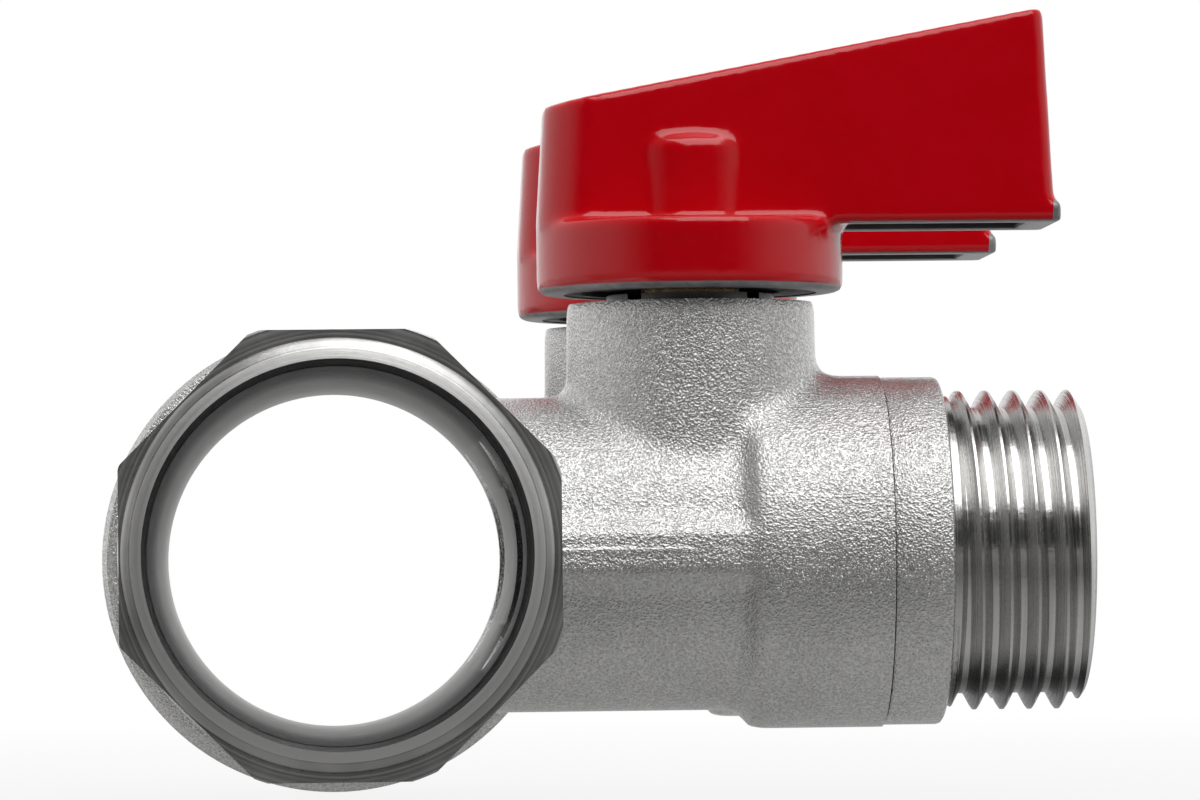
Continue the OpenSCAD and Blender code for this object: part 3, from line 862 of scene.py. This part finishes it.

# %% [markdown]
# ## The levers
# A lever is one casting: a round hub, a wedge-shaped grip that is hollow underneath, and a boss over the
# screw. Paint rounds every edge of it. The plain shapes are fused, remeshed and smoothed, as the body
# was, and then the fits for the stem, the screw and the stop lug are cut. The hollow and the fits that
# are cut from below were never painted, and their casting is made near-black as painted shade, for the
# shadow inside the hollow and in the gap under the hub. The second lever is a copy of the first.


# %% Shape the grip
def round_upright(obj, chosen, radius, segments):
    pick(obj)
    bpy.ops.object.mode_set(mode="EDIT")
    bpy.ops.mesh.select_mode(type="EDGE")
    bpy.ops.mesh.select_all(action="DESELECT")
    bpy.ops.object.mode_set(mode="OBJECT")
    for edge in obj.data.edges:
        ends = [obj.data.vertices[i].co / MM for i in edge.vertices]
        upright = abs(ends[0].z - ends[1].z) > 4
        edge.select = upright and all(chosen(end) for end in ends)
    bpy.ops.object.mode_set(mode="EDIT")
    bpy.ops.mesh.bevel(offset=radius * MM, offset_type="OFFSET", segments=segments, affect="EDGES")
    bpy.ops.mesh.select_mode(type="VERT")
    bpy.ops.object.mode_set(mode="OBJECT")


tail_top = 29.25
end_top = 35.40
half_width = 5
grip = block("grip", (-10.05, -half_width, lever_low), (23.68, half_width, tail_top))
shift(grip, lambda p: p.x > 0 and p.z > 25, (-0.6, 0, end_top - tail_top))
shift(grip, lambda p: p.x < 0 and p.z > 25, (0.5, 0, 0))
for end, draft in ((-1, 0.37), (1, 0.6)):
    for side in (1, -1):
        shift(grip, lambda p: p.z > 25 and p.y * side > 0 and p.x * end > 0, (0, -side * draft, 0))
round_upright(grip, lambda p: p.x < 0, 3.6, 12)
round_upright(grip, lambda p: p.x > 20, 0.9, 4)
print("grip:", triangles(grip), "triangles")

# %% Fuse the lever
hub_radius = 10.05
hub_top = 21.65
hub_line = [(0, hub_low), (9.55, hub_low), (9.9, 17.15), (hub_radius, 17.5), (hub_radius, lever_low),
            (9.9, 21.58), (9.6, hub_top), (0, hub_top)]
lever = spun("front_lever_handle", hub_line, "Z")
boss_line = [(0, 19), (5.7, 19), (5.7, 26.5), (5.4, 27.0), (4.9, 27.15), (0, 27.15)]
boss = spun("boss", boss_line, "Z")
lip = block("lip", (21, -4.95, lever_low), (24.0, 4.95, lever_low + 1.35))
hollow_start = 10.4
hollow_end = 21.8
hollow_side = 3.2
hollow_top = 31.5
hollow = block("hollow", (hollow_start, -hollow_side, 18), (hollow_end, hollow_side, hollow_top))
shift(hollow, lambda p: p.x > 20 and p.z > 25, (0, 0, 2))
work(lever, "UNION", grip, boss, lip)
work(lever, "DIFFERENCE", hollow)
modify(lever, "REMESH", mode="VOXEL", voxel_size=0.22 * MM)
modify(lever, "SMOOTH", factor=0.5, iterations=16)
print("lever:", triangles(lever), "triangles")

# %% Cut the lever's fits
recess_top = 18.6
recess_line = [(0, 15), (5.85, 15), (5.85, recess_top), (3.3, recess_top), (3.3, 19), (0, 19)]
recess = spun("recess", recess_line, "Z")
stop_line = [(5.5, 15), (7.1, 15), (7.1, recess_top), (5.5, recess_top), (5.5, 15)]
stop_way = spun("stop_way", stop_line, "Z")
keep = block("keep", (-20, -20, 10), (2.6, 20, 30))
keep.rotation_euler = (0, 0, math.radians(135))
work(stop_way, "DIFFERENCE", settle(keep))
square = block("square", (-2.3, -2.3, 17), (2.3, 2.3, 24.75))
well_line = [(0, 23), (1.65, 23), (1.65, 25.75), (2.95, 25.75), (2.95, 40), (0, 40)]
# A shallow facing under the hub that carries the near-black casting, painted shade for the gap over the
# neck.
seat = spun("painted_shade_facing", [(0, 15), (8.3, 15), (8.3, 17.08), (0, 17.08)], "Z")
coat(lever, red_enamel)
# Painted shade: the faces inside the hollow get the near-black casting.
lever.data.materials.append(inside["bare"])
ceiling_slope = 0.175
for face in lever.data.polygons:
    middle = face.center / MM
    ceiling = hollow_top + (middle.x - hollow_start) * ceiling_slope
    in_length = hollow_start - 0.2 < middle.x < hollow_end + 0.2
    in_width = abs(middle.y) < hollow_side + 0.15
    if in_length and in_width and lever_low + 0.05 < middle.z < ceiling + 0.6:
        face.material_index = 1
# Painted shade: the fits under the hub wear the near-black casting, for the gap between hub and neck.
for cutter in (seat, recess, stop_way, square):
    coat(cutter, inside["bare"])
work(lever, "DIFFERENCE", seat, recess, stop_way, square)
work(lever, "DIFFERENCE", coat(spun("screw_well", well_line, "Z"), red_enamel))
lever.location = (stem_x * MM, front_y * MM, 0)
settle(lever)
rear_lever = copy_back(lever, "rear_lever_handle")
hand_over(lever, "front_lever", "front_handle")
hand_over(rear_lever, "rear_lever", "rear_handle")

# %% [markdown]
# ## Floor and light
# The photograph has a bare white ground. To the camera the floor and the world are white, but for a
# faint shadow on the floor. Metal shows what is round it, so what it mirrors is set apart from that. The
# world is bright behind, dimmer overhead and at the sides, and dark in front. The floor is grey, and
# darker in front of the object than behind it. One soft box hangs in front, high over the camera.

# %% Floor
bpy.ops.object.select_all(action="DESELECT")
bpy.ops.mesh.primitive_plane_add(size=6, location=(0, 0, cad_low.z - 0.0001))
floor = bpy.context.object
floor.name = "floor"
floor_finish, wire, floor_shader = new_finish("pale_floor")
floor_shader.inputs["Roughness"].default_value = 0.8
place = place_on_piece(wire)
mottle = noise(wire, place, 20, 3)
behind = coordinate(wire, place, "Y")
# Painted shade: the floor's colour is darker in front of the object than behind it, for the dim side of
# the studio that the metal mirrors.
tone = spread(wire, behind, -0.03, 0.012, 0, 0.8) + mottle * 0.2
pale = ramp(wire, tone, [(0.1, (0.1, 0.1, 0.1)), (0.9, (0.29, 0.29, 0.29))])
pale.into(floor_shader.inputs["Base Color"])
glow = wire.node("ShaderNodeEmission", {}, {"Color": (1, 1, 1, 1), "Strength": 1.0})
seen = wire.node("ShaderNodeLightPath", {}, {}, "Is Camera Ray")
mirrored = wire.node("ShaderNodeLightPath", {}, {}, "Is Glossy Ray")
distance = wire.node("ShaderNodeVectorMath", {"operation": "LENGTH"}, {0: place}, "Value")
whiteness = spread(wire, distance, 0.05, 0.3, 0.88, 1.0)
# Painted light: to glossy rays the floor glows, more behind the object and far off, so the metal mirrors
# a bright ground there.
near_glow = spread(wire, behind, -0.02, 0.03, 0.02, 0.36)
far_glow = spread(wire, distance, 0.08, 0.25, 0, 0.25)
glowing = seen * whiteness + mirrored * (near_glow + far_glow)
diffuse = Wire(wire.tree, floor_shader.outputs[0])
mixed = wire.node("ShaderNodeMixShader", {}, {"Fac": glowing, 1: diffuse, 2: glow})
mixed.into(floor_finish.node_tree.nodes["Material Output"].inputs["Surface"])
coat(floor, floor_finish)
print("floor at", round(floor.location.z * 1000, 2), "mm")

# %% World
world = bpy.data.worlds.new("studio")
scene.world = world
world.use_nodes = True
sky = Wire(world.node_tree)
background = world.node_tree.nodes["Background"]
direction = sky.node("ShaderNodeTexCoord", {}, {}, "Generated")
backdrop = spread(sky, coordinate(sky, direction, "Y"), -0.75, 0.35, 0.02, 1.0)
overhead = spread(sky, coordinate(sky, direction, "Z"), 0.3, 0.9, 1.0, 0.75)
sides = spread(sky, coordinate(sky, direction, "X") ** 2.0, 0.25, 0.8, 0, 0.42)
studio = (backdrop + sides * (1 - backdrop)) * overhead
camera_ray = sky.node("ShaderNodeLightPath", {}, {}, "Is Camera Ray")
level = studio + camera_ray * (1 - studio)
level.into(background.inputs["Strength"])
background.inputs["Color"].default_value = (1, 1, 1, 1)
print("world ready")

# %% Soft box
lamp_data = bpy.data.lights.new("key", "AREA")
lamp_data.shape = "RECTANGLE"
lamp_data.size = 420 * MM
lamp_data.size_y = 446 * MM
lamp_data.energy = 1.8
lamp = bpy.data.objects.new("key", lamp_data)
scene.collection.objects.link(lamp)
lamp.location = Vector((104, -214, 410)) * MM
lamp_aim = Vector((20, 30, 5)) * MM
lamp.rotation_euler = (lamp_aim - lamp.location).to_track_quat("-Z", "Y").to_euler()
print("lamp", lamp.name, "of", lamp_data.energy, "watts")
